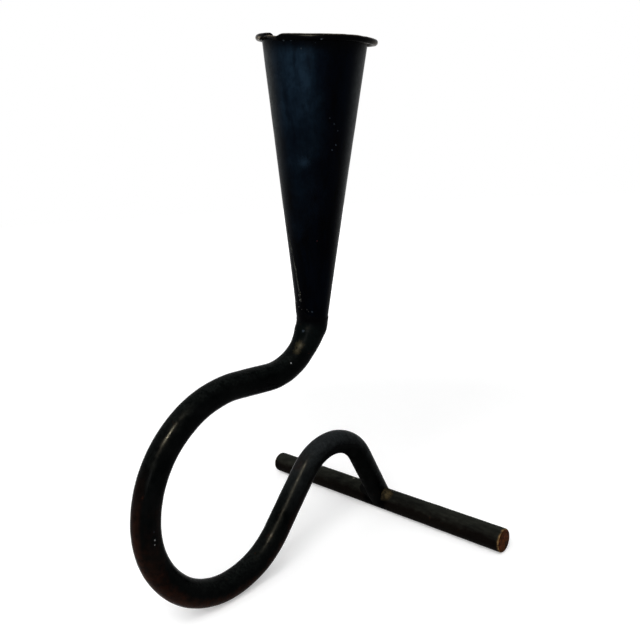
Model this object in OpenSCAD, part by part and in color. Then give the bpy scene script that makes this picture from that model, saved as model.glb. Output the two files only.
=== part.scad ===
// Candlestick: a long cone cup on a round rod that is bent into a loop and a hump
// and stands on a straight foot bar.
//
// Millimetres, +Z up. The origin is on the table, straight below the joint of the rod
// and the foot bar. The rod is bent in the XZ plane, with the loop towards -X.
// The foot bar lies along Y. The neck and the cup lean out of that plane, towards -Y.

/* [Rod] */
// Diameter of the round rod
rod_d = 10; // [8:0.5:12]
// Centreline radius of the loop, from its lowest point towards the foot
loop_foot_r = 34; // [28:0.5:40]
// Angle that the rod turns there
loop_foot_turn = 48; // [42:1:54]
// Length of the straight rise from the loop to the hump
rise_len = 26; // [20:0.5:32]
// Centreline radius of the hump
hump_r = 22; // [18:0.5:26]
// Angle that the rod turns over the hump
hump_turn = 110; // [100:1:120]
// Centreline radius of the loop, from its lowest point to the back
loop_low_r = 30; // [26:0.5:34]
// Angle that the rod turns there
loop_low_turn = 45; // [40:1:50]
// Centreline radius of the loop at its back
loop_back_r = 36; // [32:0.5:40]
// Angle that the rod turns there
loop_back_turn = 45; // [40:1:50]
// Centreline radius of the loop over its top
loop_top_r = 42; // [38:0.5:46]
// Angle that the rod turns there
loop_top_turn = 92.5; // [87:0.5:98]
// Length of the straight run from the loop to the neck
run_len = 15; // [8:0.5:24]
// Centreline radius of the bend at the neck
neck_r = 23; // [19:0.5:28]
// Length of the straight end of the rod above the neck
end_len = 5; // [3:0.5:9]

/* [Foot bar] */
// Diameter of the foot bar
foot_d = 10; // [8:0.5:14]
// Length of the foot bar from the joint to its near end
foot_near_len = 65; // [45:1:85]
// Length of the foot bar from the joint to its far end
foot_far_len = 71; // [45:1:85]
// Width of the worn edge at both ends of the foot bar
foot_edge = 0.7; // [0.2:0.1:1.5]

/* [Cup] */
// Length of the cup along its axis, rim included
cup_len = 106.5; // [80:0.5:125]
// Inside diameter of the cup at its mouth
mouth_d = 37; // [30:0.5:44]
// Thickness of the sheet
sheet_t = 0.7; // [0.5:0.05:0.8]
// Angle by which the neck and the cup lean out of the plane of the rod
cup_lean = 5.5; // [0:0.5:8]
// Length of the rod's end that stands inside the cup
rod_inside = 9; // [6:0.5:12]
// Gap between the rod and the sheet at the small end of the cup
rod_gap = 0.1; // [0.05:0.05:0.3]
// Height of the rolled rim
rim_h = 2.2; // [1.8:0.1:3]
// Width of the rim, from the inside of the cup outwards
rim_w = 3.6; // [3.2:0.1:5]
// Width of the opening in the rim where the edges of the sheet meet
notch_w = 4; // [2:0.5:6]
// Depth of that opening
notch_depth = 1.2; // [0.8:0.1:1.7]
// Angle of the seam around the cup, from the plane of the rod
seam_turn = 0; // [-40:5:40]

/* [Filler and welds] */
// Width of the raised ridge of filler on the seam
ridge_w = 1.8; // [1.2:0.1:2.6]
// Distance of the ridge's axis outside the sheet
ridge_lift = 0.1; // [0:0.05:0.4]
// Height of the lower end of the ridge above the small end of the cup
ridge_start = 4; // [2:0.5:8]
// Length of the ridge
ridge_len = 32; // [15:1:50]
// Length of the collar of filler below the cup
collar_len = 4; // [2.5:0.5:6]
// How much narrower the collar is at its lower end, on the radius
collar_taper = 0.4; // [0.2:0.1:0.8]
// Leg of the welds between the rod and the foot bar
weld_leg = 2.6; // [1.5:0.1:4]

/* [Hidden] */
$fn = 96;
cut = 1;

// A bent rod is a little thinner in places: every other piece of it is slim.
slim_d = rod_d - 0.1;
joint_lap = 0.5;

rod_r = rod_d / 2;
foot_r = foot_d / 2;
roll_r = rim_h / 2;
mouth_r = mouth_d / 2;

// Path of the rod. A move is [radius, angle] on a bend, with left turns positive, and
// [length, 0] on a straight. A place is [across, up, heading] in the plane of the rod.
function along(place, move) =
    [place[0] + move[0] * cos(place[2]), place[1] + move[0] * sin(place[2]), place[2]];
function around(place, move) =
    let (side = sign(move[1]), heading = place[2] + move[1])
    [place[0] + side * move[0] * (sin(heading) - sin(place[2])),
     place[1] - side * move[0] * (cos(heading) - cos(place[2])),
     heading];
function next(place, move) = move[1] == 0 ? along(place, move) : around(place, move);
function places(place, moves, i = 0) =
    i == len(moves) ? [place]
    : concat([place], places(next(place, moves[i]), moves, i + 1));

// From the loop's lowest point over the hump, and then down the strut to the axis of
// the foot bar, where the strut's length follows from the height that is left.
over_hump = [[loop_foot_r, loop_foot_turn], [rise_len, 0], [hump_r, -hump_turn]];
hump_end = places([0, rod_r, 0], over_hump)[3];
strut_fall = hump_turn - loop_foot_turn;
strut_len = (hump_end[1] - foot_r) / sin(strut_fall);
loop_x = -hump_end[0] - strut_len * cos(strut_fall);
foot_side = concat(over_hump, [[strut_len - joint_lap, 0]]);

// From the loop's lowest point around its back and top to the neck, which then turns
// until the cup stands upright in the plane of the rod.
cup_side = [[loop_low_r, -loop_low_turn], [loop_back_r, -loop_back_turn],
            [loop_top_r, -loop_top_turn], [run_len, 0]];
run_end = places([loop_x, rod_r, 180], cup_side)[4];
neck_turn = 90 - run_end[2];

// The small end of the cup goes around the last of the neck's bend, so it is wider than
// the rod by the amount that the bend is off the cup's axis there.
bend_inside = max(0, rod_inside - end_len);
bend_offset = neck_r - sqrt(neck_r * neck_r - bend_inside * bend_inside);
small_r = rod_r + bend_offset + rod_gap;
wall_h = cup_len - roll_r;
wall_slope = atan((mouth_r - small_r) / wall_h);

// The plane of the rod: across is X and up is Z.
module rod_plane() {
    rotate([90, 0, 0])
        children();
}

// One piece of the rod, from the origin along +X: a straight, or a bend to either side.
// A slim piece reaches a little way into both of its neighbours, which are full.
module rod_straight(length, slim = false) {
    lap = slim ? joint_lap : 0;
    translate([-lap, 0, 0])
        rotate([0, 90, 0])
            cylinder(h = length + 2 * lap, d = slim ? slim_d : rod_d);
}

module rod_left_bend(radius, angle, slim = false) {
    lap = slim ? joint_lap / radius * 180 / PI : 0;
    translate([0, radius, 0])
        rotate([0, 0, -90 - lap])
            rotate_extrude(angle = angle + 2 * lap)
                translate([radius, 0])
                    circle(d = slim ? slim_d : rod_d);
}

module rod_piece(move, slim) {
    if (move[1] == 0)
        rod_straight(move[0], slim);
    else if (move[1] > 0)
        rod_left_bend(move[0], move[1], slim);
    else
        mirror([0, 1, 0])
            rod_left_bend(move[0], -move[1], slim);
}

module rod_pieces(start, moves, slim_from) {
    stops = places(start, moves);
    for (i = [0 : len(moves) - 1])
        translate([stops[i][0], stops[i][1], 0])
            rotate([0, 0, stops[i][2]])
                rod_piece(moves[i], (i + slim_from) % 2 == 0);
}

// The start of the neck, leaning by the angle of the cup.
module at_neck() {
    rod_plane()
        translate([run_end[0], run_end[1], 0])
            rotate([cup_lean, 0, run_end[2]])
                children();
}

module neck() {
    at_neck() {
        rod_left_bend(neck_r, neck_turn, slim = true);
        translate([neck_r * sin(neck_turn), neck_r * (1 - cos(neck_turn)), 0])
            rotate([0, 0, neck_turn])
                rod_straight(end_len);
    }
}

// The small end of the cup: +Z runs up the cup's axis.
module at_cup() {
    at_neck()
        translate([neck_r * sin(neck_turn), neck_r * (1 - cos(neck_turn)), 0])
            rotate([0, 0, neck_turn])
                translate([end_len - rod_inside, 0, 0])
                    rotate([0, 90, 0])
                        children();
}

// The seam's direction: +X points out of the cup at the seam.
module at_seam() {
    rotate([0, 0, 90 + seam_turn])
        children();
}

// Half section of the wall, and of the rim that turns outwards and rolls under.
module wall_section() {
    polygon([
        [small_r, 0],
        [small_r + sheet_t, 0],
        [mouth_r + sheet_t, wall_h],
        [mouth_r, wall_h]
    ]);
}

module sheet_bend() {
    difference() {
        circle(r = roll_r);
        circle(r = roll_r - sheet_t);
    }
}

module rim_section() {
    turn_x = mouth_r + roll_r;
    roll_x = mouth_r + rim_w - roll_r;
    translate([turn_x, wall_h])
        intersection() {
            sheet_bend();
            translate([-rim_w, 0])
                square(rim_w);
        }
    translate([turn_x, wall_h + roll_r - sheet_t])
        square([roll_x - turn_x, sheet_t]);
    translate([roll_x, wall_h])
        difference() {
            sheet_bend();
            translate([-rim_w, 0])
                square(rim_w);
        }
}

module notch() {
    at_seam()
        translate([0, -notch_w / 2, cup_len - notch_depth])
            cube([mouth_r + rim_w + cut, notch_w, notch_depth + cut]);
}

module cone_cup() {
    color([0.06, 0.07, 0.08])
        at_cup()
            difference() {
                rotate_extrude()
                    union() {
                        wall_section();
                        rim_section();
                    }
                notch();
            }
}

// The seam of the sheet is closed and dressed flush, apart from a ridge of filler that
// stands on the outside of its lower part.
module cup_seam_braze() {
    color([0.16, 0.15, 0.14])
        at_cup()
            difference() {
                at_seam()
                    translate([small_r + sheet_t + ridge_lift, 0, 0])
                        rotate([0, wall_slope, 0])
                            translate([0, 0, ridge_start])
                                ridge();
                cylinder(h = wall_h, r1 = small_r + sheet_t, r2 = mouth_r + sheet_t);
            }
}

module ridge() {
    ridge_r = ridge_w / 2;
    rotate_extrude()
        polygon([
            [0, 0],
            [ridge_r, ridge_r],
            [ridge_r, ridge_len - ridge_r],
            [0, ridge_len]
        ]);
}

// The collar is wide under the sheet and hugs the rod, which bends away from it.
module neck_braze() {
    color([0.14, 0.15, 0.15])
        difference() {
            at_cup()
                translate([0, 0, -collar_len])
                    cylinder(h = collar_len, r1 = small_r + sheet_t - collar_taper,
                             r2 = small_r + sheet_t);
            neck();
        }
}

module bent_rod() {
    color([0.07, 0.07, 0.06])
        difference() {
            union() {
                rod_plane() {
                    rod_pieces([loop_x, rod_r, 0], foot_side, slim_from = 1);
                    rod_pieces([loop_x, rod_r, 180], cup_side, slim_from = 0);
                }
                neck();
            }
            foot_round();
        }
}

// The foot bar without its worn edges, which is what the rod's end is cut to.
module foot_round() {
    translate([0, -foot_near_len, foot_r])
        rotate([-90, 0, 0])
            cylinder(h = foot_near_len + foot_far_len, r = foot_r);
}

module foot_bar() {
    foot_len = foot_near_len + foot_far_len;
    color([0.10, 0.09, 0.08])
        translate([0, -foot_near_len, foot_r])
            rotate([-90, 0, 0])
                rotate_extrude()
                    polygon([
                        [0, 0],
                        [foot_r - foot_edge, 0],
                        [foot_r, foot_edge],
                        [foot_r, foot_len - foot_edge],
                        [foot_r - foot_edge, foot_len],
                        [0, foot_len]
                    ]);
}

// The joint on the foot bar: +Z runs up the strut from the bar's axis.
module at_foot_joint() {
    translate([0, 0, foot_r])
        rotate([0, strut_fall - 90, 0])
            children();
}

// A weld fills the corner between the strut and the bar, along the middle of the bar.
module foot_weld(side) {
    weld_h = foot_r + weld_leg;
    weld_w = 1.5 * rod_r;
    difference() {
        at_foot_joint()
            intersection() {
                cylinder(h = weld_h, r1 = rod_r + weld_h, r2 = rod_r);
                translate([-weld_w / 2, side > 0 ? 0 : -2 * weld_h - rod_d, 0])
                    cube([weld_w, 2 * weld_h + rod_d, weld_h]);
            }
        foot_round();
        at_foot_joint()
            cylinder(h = strut_len, d = slim_d);
    }
}

module foot_weld_near() {
    color([0.30, 0.22, 0.15])
        foot_weld(-1);
}

module foot_weld_far() {
    color([0.20, 0.16, 0.12])
        foot_weld(1);
}

cone_cup();
cup_seam_braze();
neck_braze();
bent_rod();
foot_bar();
foot_weld_near();
foot_weld_far();
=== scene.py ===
# %% [markdown]
# # A candlestick bent from one round bar
#
# The real object has a long cone cup of thin sheet, one round rod that is bent into a
# loop, a hump and a neck, and a straight foot bar that the rod is welded to. All of it
# wears old black paint, which is bluer on the cup.
#
# A finished model of the solids exists already, and it fixes every size. This lesson
# dresses those solids: each one gets a mesh with the marks of the hammer, the filler
# and the paint, in the same place and of the same size.

import math

import bmesh
import bpy
from mathutils import Matrix, Vector, noise


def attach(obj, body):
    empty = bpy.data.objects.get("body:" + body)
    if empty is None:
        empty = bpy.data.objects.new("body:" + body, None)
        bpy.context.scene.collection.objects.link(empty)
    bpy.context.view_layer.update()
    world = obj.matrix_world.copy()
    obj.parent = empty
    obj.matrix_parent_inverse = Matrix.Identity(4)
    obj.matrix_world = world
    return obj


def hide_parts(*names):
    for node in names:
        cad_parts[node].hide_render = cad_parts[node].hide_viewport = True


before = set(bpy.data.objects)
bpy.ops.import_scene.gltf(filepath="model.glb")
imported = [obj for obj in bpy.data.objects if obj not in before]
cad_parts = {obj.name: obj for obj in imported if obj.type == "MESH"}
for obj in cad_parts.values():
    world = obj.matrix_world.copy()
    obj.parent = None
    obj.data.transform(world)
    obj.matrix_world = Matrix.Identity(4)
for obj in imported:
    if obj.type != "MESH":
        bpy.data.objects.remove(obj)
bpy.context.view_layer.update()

# %% [markdown]
# ## The camera
#
# A render can only be set beside a photograph if both are seen from the same place. The
# camera could be moved by hand until the outlines meet. Here it was found from the
# object itself: the course and the width of the rod, the bar and the cone leave only
# one place that fits, and the three angles below turn the camera there. It is rolled by
# a few degrees, as a picture taken by hand often is.

# %% Camera
MM = 0.001
IMAGE_WIDTH = 640
SENSOR_WIDTH = 36
FOCAL_PIXELS = 653.3
CAMERA_PLACE = Vector((-225.1, -187.5, 149.3)) * MM
CAMERA_HEADING = math.radians(45.4)
CAMERA_PITCH = math.radians(10.9)
CAMERA_ROLL = math.radians(-3.2)


def camera_axes():
    """Right, up and forward of the camera, from its heading, pitch and roll."""
    heading, pitch, roll = CAMERA_HEADING, CAMERA_PITCH, CAMERA_ROLL
    forward = Vector((math.sin(heading) * math.cos(pitch),
                      math.cos(heading) * math.cos(pitch),
                      -math.sin(pitch)))
    level = Vector((math.cos(heading), -math.sin(heading), 0))
    over = level.cross(forward)
    right = math.cos(roll) * level + math.sin(roll) * over
    up = -math.sin(roll) * level + math.cos(roll) * over
    return right, up, forward


right, up, forward = camera_axes()
camera_data = bpy.data.cameras.new("camera")
camera_data.sensor_width = SENSOR_WIDTH
camera_data.lens = SENSOR_WIDTH * FOCAL_PIXELS / IMAGE_WIDTH
camera_data.clip_start = 0.01
camera = bpy.data.objects.new("camera", camera_data)
turn = Matrix((right, up, -forward)).transposed()
camera.matrix_world = Matrix.Translation(CAMERA_PLACE) @ turn.to_4x4()
bpy.context.scene.collection.objects.link(camera)
bpy.context.scene.camera = camera
print("lens:", round(camera_data.lens, 2), "mm")

# %% [markdown]
# ## The course of the rod
#
# A smith bends a straight bar over forms of different radii. So its middle line is a
# chain of straights and arcs, and not a free curve. Each move below is a radius and an
# angle, or a length and no angle. The numbers are the same as in the solid model, so
# the new rod runs exactly where the solid rod runs.

# %% Moves of the rod, in millimetres and degrees
ROD_RADIUS = 5.0
CUP_LEAN = 5.5
END_LENGTH = 5.0
NECK_RADIUS = 23.0
OVER_HUMP = [(34, 48), (26, 0), (22, -110)]
TO_NECK = [(30, -45), (36, -45), (42, -92.5), (15, 0)]
STEP = 0.4


def sample_moves(place, moves):
    """Walks along straights and arcs, and returns places (across, up, heading)."""
    walked = [place]
    for size, angle in moves:
        across, height, heading = walked[-1]
        if angle == 0:
            count = max(1, round(size / STEP))
            for i in range(1, count + 1):
                far = size * i / count
                walked.append((across + far * math.cos(math.radians(heading)),
                               height + far * math.sin(math.radians(heading)),
                               heading))
        else:
            side = math.copysign(1, angle)
            count = max(1, round(size * math.radians(abs(angle)) / STEP))
            for i in range(1, count + 1):
                now = heading + angle * i / count
                a, b = math.radians(heading), math.radians(now)
                walked.append((across + side * size * (math.sin(b) - math.sin(a)),
                               height - side * size * (math.cos(b) - math.cos(a)),
                               now))
    return walked


hump_end = sample_moves((0, ROD_RADIUS, 0), OVER_HUMP)[-1]
strut_fall = math.radians(-hump_end[2])
strut_length = (hump_end[1] - ROD_RADIUS) / math.sin(strut_fall)
loop_across = -hump_end[0] - strut_length * math.cos(strut_fall)
print("strut:", round(strut_length, 2), "mm; loop at x =", round(loop_across, 2), "mm")

# %% The rod's middle line in space
foot_side = sample_moves((loop_across, ROD_RADIUS, 0), OVER_HUMP + [(strut_length, 0)])
cup_side = sample_moves((loop_across, ROD_RADIUS, 180), TO_NECK)
run_end = cup_side[-1]
neck_turn = 90 - run_end[2]

at_neck = (Matrix.Rotation(math.radians(90), 4, "X")
           @ Matrix.Translation((run_end[0], run_end[1], 0))
           @ Matrix.Rotation(math.radians(run_end[2]), 4, "Z")
           @ Matrix.Rotation(math.radians(CUP_LEAN), 4, "X"))
neck = [at_neck @ Vector((p[0], p[1], 0)) for p in
        sample_moves((0, 0, 0), [(NECK_RADIUS, neck_turn), (END_LENGTH, 0)])]
middle_line = ([Vector((p[0], 0, p[1])) for p in reversed(foot_side)]
               + [Vector((p[0], 0, p[1])) for p in cup_side[1:]]
               + neck[1:])
print("points on the middle line:", len(middle_line), "ends at", middle_line[-1])

# %% [markdown]
# ## A skin around a line
#
# A bevelled curve would give the rod in one click, but a perfect tube looks like
# plastic. Old bar stock is never quite round: it has flats from the hammer, and paint
# lies on it unevenly. So the skin is made ring by ring, and each point may stand about
# a tenth of a millimetre higher or lower. The rings are carried along the line without
# twisting.

# %% Helpers for meshes
def make_mesh(name, points, faces, sharp=40):
    """A smooth mesh from points in millimetres, with edges kept where it turns sharply.

    Its faces are turned outwards, so that relief stands out and doesn't sink in."""
    mesh = bpy.data.meshes.new(name)
    mesh.from_pydata([Vector(p) * MM for p in points], [], faces)
    mesh.validate()
    shell = bmesh.new()
    shell.from_mesh(mesh)
    bmesh.ops.recalc_face_normals(shell, faces=shell.faces)
    shell.to_mesh(mesh)
    shell.free()
    mesh.shade_smooth()
    mesh.set_sharp_from_angle(angle=math.radians(sharp))
    piece = bpy.data.objects.new(name, mesh)
    bpy.context.scene.collection.objects.link(piece)
    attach(piece, "root")
    print(name, "has", len(mesh.vertices), "points and", len(mesh.polygons), "faces")
    return piece


def store_layer(piece, name, shares):
    """Stores one value for each point of a mesh, for a material to read by its name."""
    piece.data.attributes.new(name, "FLOAT", "POINT").data.foreach_set("value", shares)


def ring_faces(ring_count, ring_size):
    """Quads between rings that close on themselves."""
    faces = []
    for i in range(ring_count - 1):
        for j in range(ring_size):
            k = (j + 1) % ring_size
            faces.append((i * ring_size + j, i * ring_size + k,
                          (i + 1) * ring_size + k, (i + 1) * ring_size + j))
    return faces


def tube_faces(ring_count, ring_size):
    """Quads between rings, and a face over each end."""
    last = (ring_count - 1) * ring_size
    ends = [tuple(range(ring_size)), tuple(range(last, last + ring_size))]
    return ring_faces(ring_count, ring_size) + ends


def carried_frames(line):
    """Two cross directions for each point of a line, carried along without twist."""
    frames = []
    side = Vector((0, 1, 0))
    for i in range(len(line)):
        ahead = (line[min(i + 1, len(line) - 1)] - line[max(i - 1, 0)]).normalized()
        side = (side - side.dot(ahead) * ahead).normalized()
        frames.append((side, ahead.cross(side), ahead))
    return frames


def rough(place, size, seed):
    """Smooth noise from -1 to 1, with features about size millimetres across."""
    return noise.noise(Vector(place) / size + Vector((seed, 1.7 * seed, -seed)))


def relief(place, layers):
    """The sum of layers of noise; a layer is a height and a size in mm, and a seed."""
    return sum(tall * rough(place, size, seed) for tall, size, seed in layers)


def smooth_step(value, low, high):
    """0 up to low and 1 from high on, with a soft course between; high may be below."""
    part = min(1.0, max(0.0, (value - low) / (high - low)))
    return part * part * (3 - 2 * part)


# %% [markdown]
# ## The bent rod
#
# The rod is one long bar: strut, hump, rise, loop, neck, and a short end that stands
# inside the cup. Large soft noise gives the hammer's flats and small noise gives the
# skin of scale under the paint. Where the loop rests, the points are kept above the
# table. The end inside the cup can be seen from above, so it gets a rounded edge and a
# flat face. Each point also remembers how far it looks out of its bend, because the
# paint will be brown there: rust, and on the outer side a painted edge reflection.

# %% A ring of the rod
AROUND = 56
HAMMERED = ((0.07, 9, 3.1), (0.035, 3.2, 5.3), (0.012, 1.1, 8.9))


def spokes(across, over):
    """Pairs of an angle and a direction, one for each point of a ring."""
    for j in range(AROUND):
        angle = 2 * math.pi * j / AROUND
        yield angle, math.cos(angle) * across + math.sin(angle) * over


def rod_skin(centre, across, over, radius):
    """A ring of points around the rod, uneven as old bar stock is."""
    ring = []
    for _, out in spokes(across, over):
        spot = centre + (radius + relief(centre + radius * out, HAMMERED)) * out
        spot.z = max(spot.z, 0.0)
        ring.append(spot)
    return ring


# %% Outer sides of the bends
# The outer sides of the bends are brown: rust, and a painted edge reflection.
BEND_REACH = 8
STRAIGHT_SAG = 0.001
OUTERMOST = (0.72, 1.0)
TIGHT_BEND = (150, 60)


def outer_side(i, out):
    """How far a side of the rod looks out of the bend that it is in, from 0 to 1."""
    before = middle_line[max(i - BEND_REACH, 0)]
    after = middle_line[min(i + BEND_REACH, len(middle_line) - 1)]
    sag = (before + after) / 2 - middle_line[i]
    if sag.length < STRAIGHT_SAG:
        return 0.0
    bend_radius = ((after - before).length / 2) ** 2 / (2 * sag.length)
    share = smooth_step(-out.dot(sag.normalized()), *OUTERMOST)
    return share * smooth_step(bend_radius, *TIGHT_BEND)


# %% Bent rod
PAINT = 0.10
NECK_PAINT = 0.20
NECK_PART = (65, 45)
INSIDE_CUP = (9, 13)
ROUNDED_END = ((0.25, 4.85), (0.42, 4.5), (0.46, 3.0), (0.46, 1.0))

rod_frames = carried_frames(middle_line)
rod_points, rod_outer = [], []
for i, (centre, (across, over, ahead)) in enumerate(zip(middle_line, rod_frames)):
    from_end = (len(middle_line) - 1 - i) * STEP
    swell = PAINT + NECK_PAINT * smooth_step(from_end, *NECK_PART)
    swell *= smooth_step(from_end, *INSIDE_CUP)
    rod_points += rod_skin(centre, across, over, ROD_RADIUS + swell)
    rod_outer += [outer_side(i, out) for _, out in spokes(across, over)]
across, over, ahead = rod_frames[-1]
for rise, radius in ROUNDED_END:
    rod_points += rod_skin(middle_line[-1] + rise * ahead, across, over, radius)
rod_outer += [0.0] * (len(rod_points) - len(rod_outer))
bent_rod = make_mesh("bent_rod_skin", rod_points,
                     tube_faces(len(rod_points) // AROUND, AROUND))
store_layer(bent_rod, "outer", rod_outer)
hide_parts("bent_rod")

# %% [markdown]
# ## The foot bar
#
# The foot bar is a cut length of the same stock, with a worn edge at both ends. It is
# made like the rod, ring by ring along a straight line. The ends are closed with a few
# smaller rings, so that the sawn faces can carry marks of their own.

# %% Course of the bar's radius
FOOT_RADIUS = 5.0
NEAR_LENGTH = 65.0
FAR_LENGTH = 71.0
BAR_LENGTH = NEAR_LENGTH + FAR_LENGTH
EDGE = 0.7
SIDE_START = 1.1
SIDE_RINGS = 260

end_profile = [(0.0, 0.25), (0.0, 1.2), (0.0, 2.4), (0.0, 3.5),
               (0.02, FOOT_RADIUS - EDGE - 0.25), (0.1, FOOT_RADIUS - EDGE),
               (0.24, FOOT_RADIUS - 0.38), (0.45, FOOT_RADIUS - 0.14),
               (0.75, FOOT_RADIUS - 0.03)]
side_length = BAR_LENGTH - 2 * SIDE_START
bar_profile = (end_profile
               + [(SIDE_START + side_length * i / SIDE_RINGS, FOOT_RADIUS)
                  for i in range(SIDE_RINGS + 1)]
               + [(BAR_LENGTH - along, radius) for along, radius in reversed(end_profile)])
print("rings of the bar:", len(bar_profile))

# %% Foot bar
BAR_UNEVEN = ((0.06, 8, 2.2), (0.03, 2.6, 6.1))
SAW_MARKS = ((0.05, 1.3, 9.4),)
SAWN_RADIUS = FOOT_RADIUS - 0.3
EDGE_WEAR = (0.35, 1.0)

bar_points, bar_worn = [], []
for along, radius in bar_profile:
    worn = 0.0
    if radius > FOOT_RADIUS - 1:
        worn = 1 - smooth_step(min(along, BAR_LENGTH - along), *EDGE_WEAR)
    inwards = 1 if along < BAR_LENGTH / 2 else -1
    for _, out in spokes(Vector((1, 0, 0)), Vector((0, 0, 1))):
        place = Vector((0, along - NEAR_LENGTH, FOOT_RADIUS)) + radius * out
        spot = place + out * (relief(place, BAR_UNEVEN) * min(1, radius / FOOT_RADIUS))
        if radius < SAWN_RADIUS:
            spot.y += inwards * abs(relief(place, SAW_MARKS))
        spot.z = max(spot.z, 0.0)
        bar_points.append(spot)
        bar_worn.append(worn)
foot_bar = make_mesh("foot_bar_skin", bar_points, tube_faces(len(bar_profile), AROUND), sharp=50)
store_layer(foot_bar, "worn", bar_worn)
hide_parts("foot_bar")

# %% [markdown]
# ## The welds at the foot
#
# The strut ends on top of the bar, and a small weld fills the corner on either side.
# A weld is a concave band between two surfaces, thickest in the middle and running out
# to nothing. In a frame whose Z runs up the strut, the strut is a plain upright
# cylinder, so each band can be spanned from it down to the bar and then roughened.

# %% Welds
at_joint = (Matrix.Translation((0, 0, FOOT_RADIUS))
            @ Matrix.Rotation(strut_fall - math.pi / 2, 4, "Y"))
WELD_LEG = 3.6
WELD_COLUMNS = 44
WELD_STEPS = 14
THINNEST = 0.02
SINK = 0.05
ROOT_DEPTH = 0.6
BAR_SIDE = 4.9


def weld_ring(out, thick, seed):
    """One section of a weld: from the strut over a hollow face down to the bar."""
    foot = math.sqrt(max(0.0, FOOT_RADIUS ** 2 - (ROD_RADIUS * out.x) ** 2))
    top = out * (ROD_RADIUS - SINK) + Vector((0, 0, foot + thick))
    reach = ROD_RADIUS + 1.25 * thick
    low_x = min(BAR_SIDE, abs(reach * out.x)) * math.copysign(1, out.x)
    low = Vector((low_x, reach * out.y, math.sqrt(FOOT_RADIUS ** 2 - low_x ** 2) - SINK))
    corner = out * (ROD_RADIUS - ROOT_DEPTH) + Vector((0, 0, foot - ROOT_DEPTH))
    knee = 0.62 * corner + 0.19 * (top + low)
    ring = []
    for j in range(WELD_STEPS + 1):
        t = j / WELD_STEPS
        spot = (1 - t) ** 2 * top + 2 * t * (1 - t) * knee + t * t * low
        lump = relief(spot, ((0.16, 1.5, seed), (0.07, 0.6, seed + 4)))
        spot = spot + (spot - corner).normalized() * lump * (4 * t * (1 - t)) ** 0.5
        ring.append(at_joint @ spot)
    return ring + [at_joint @ corner]


def weld_band(side, leg, spread, seed):
    """Points and faces of a weld beside the strut; side is -1 near and 1 far."""
    points = []
    for i in range(WELD_COLUMNS + 1):
        part = 2 * i / WELD_COLUMNS - 1
        angle = math.radians(90 + spread * part)
        out = Vector((math.cos(angle), side * math.sin(angle), 0))
        thick = leg * (1 - part * part) ** 0.6 + THINNEST
        points += weld_ring(out, thick, seed)
    return points, tube_faces(WELD_COLUMNS + 1, WELD_STEPS + 2)


weld_near = make_mesh("foot_weld_near_bead",
                      *weld_band(side=-1, leg=WELD_LEG, spread=50, seed=2.0))
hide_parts("foot_weld_near")
weld_far = make_mesh("foot_weld_far_bead",
                     *weld_band(side=1, leg=1.25 * WELD_LEG, spread=64, seed=7.0))
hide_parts("foot_weld_far")

# %% [markdown]
# ## The cone cup
#
# The cup is one piece of sheet, rolled to a cone, with its upper edge turned outwards
# and rolled under. A lathe would give a perfect ring. The real ring is open where the
# edges of the sheet meet: on one side the roll stops short and shows its hollow end,
# and on the other it ramps up from a flat lip. So the sheet is drawn as a section with
# a real thickness, one for each angle around the cup, and the section may change from
# angle to angle.

# %% Frame of the cup
CUP_LENGTH = 106.5
MOUTH_RADIUS = 18.5
SMALL_RADIUS = 5.45
SHEET = 0.7
ROD_INSIDE = 9.0
RIM_HEIGHT = 1.1
WALL_HEIGHT = CUP_LENGTH - RIM_HEIGHT
WAIST = 0.14

at_cup = (at_neck
          @ Matrix.Translation((NECK_RADIUS * math.sin(math.radians(neck_turn)),
                                NECK_RADIUS * (1 - math.cos(math.radians(neck_turn))), 0))
          @ Matrix.Rotation(math.radians(neck_turn), 4, "Z")
          @ Matrix.Translation((END_LENGTH - ROD_INSIDE, 0, 0))
          @ Matrix.Rotation(math.radians(90), 4, "Y"))
print("small end of the cup at", at_cup.translation,
      "axis", (at_cup.to_3x3() @ Vector((0, 0, 1))))


def wall_radius(height):
    """Middle of the sheet, slightly hollow halfway up."""
    straight = SMALL_RADIUS + (MOUTH_RADIUS - SMALL_RADIUS) * height / WALL_HEIGHT
    hollow = WAIST * math.sin(math.pi * min(1, height / WALL_HEIGHT))
    return straight + SHEET / 2 - hollow


# %% Section of the sheet at one angle
LEFT = 44.6
RIGHT = LEFT + 180
RIM_TOP = 106.15
BEND_RADIUS = 1.75
BEND_RISE = 0.878
FLANGE = 0.53
ROLL_RADIUS = 0.75
ROLL_TURN = 240
LIP_START = 104.25
LIP_BEND = 1.15
LIP_FLANGE = 1.2
LIP_TURN = 50
WALL_ROWS = 70
BEND_ROWS = 9
FLANGE_ROWS = 3
ROLL_ROWS = 18
ROLL_START = WALL_ROWS + BEND_ROWS + FLANGE_ROWS


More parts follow.
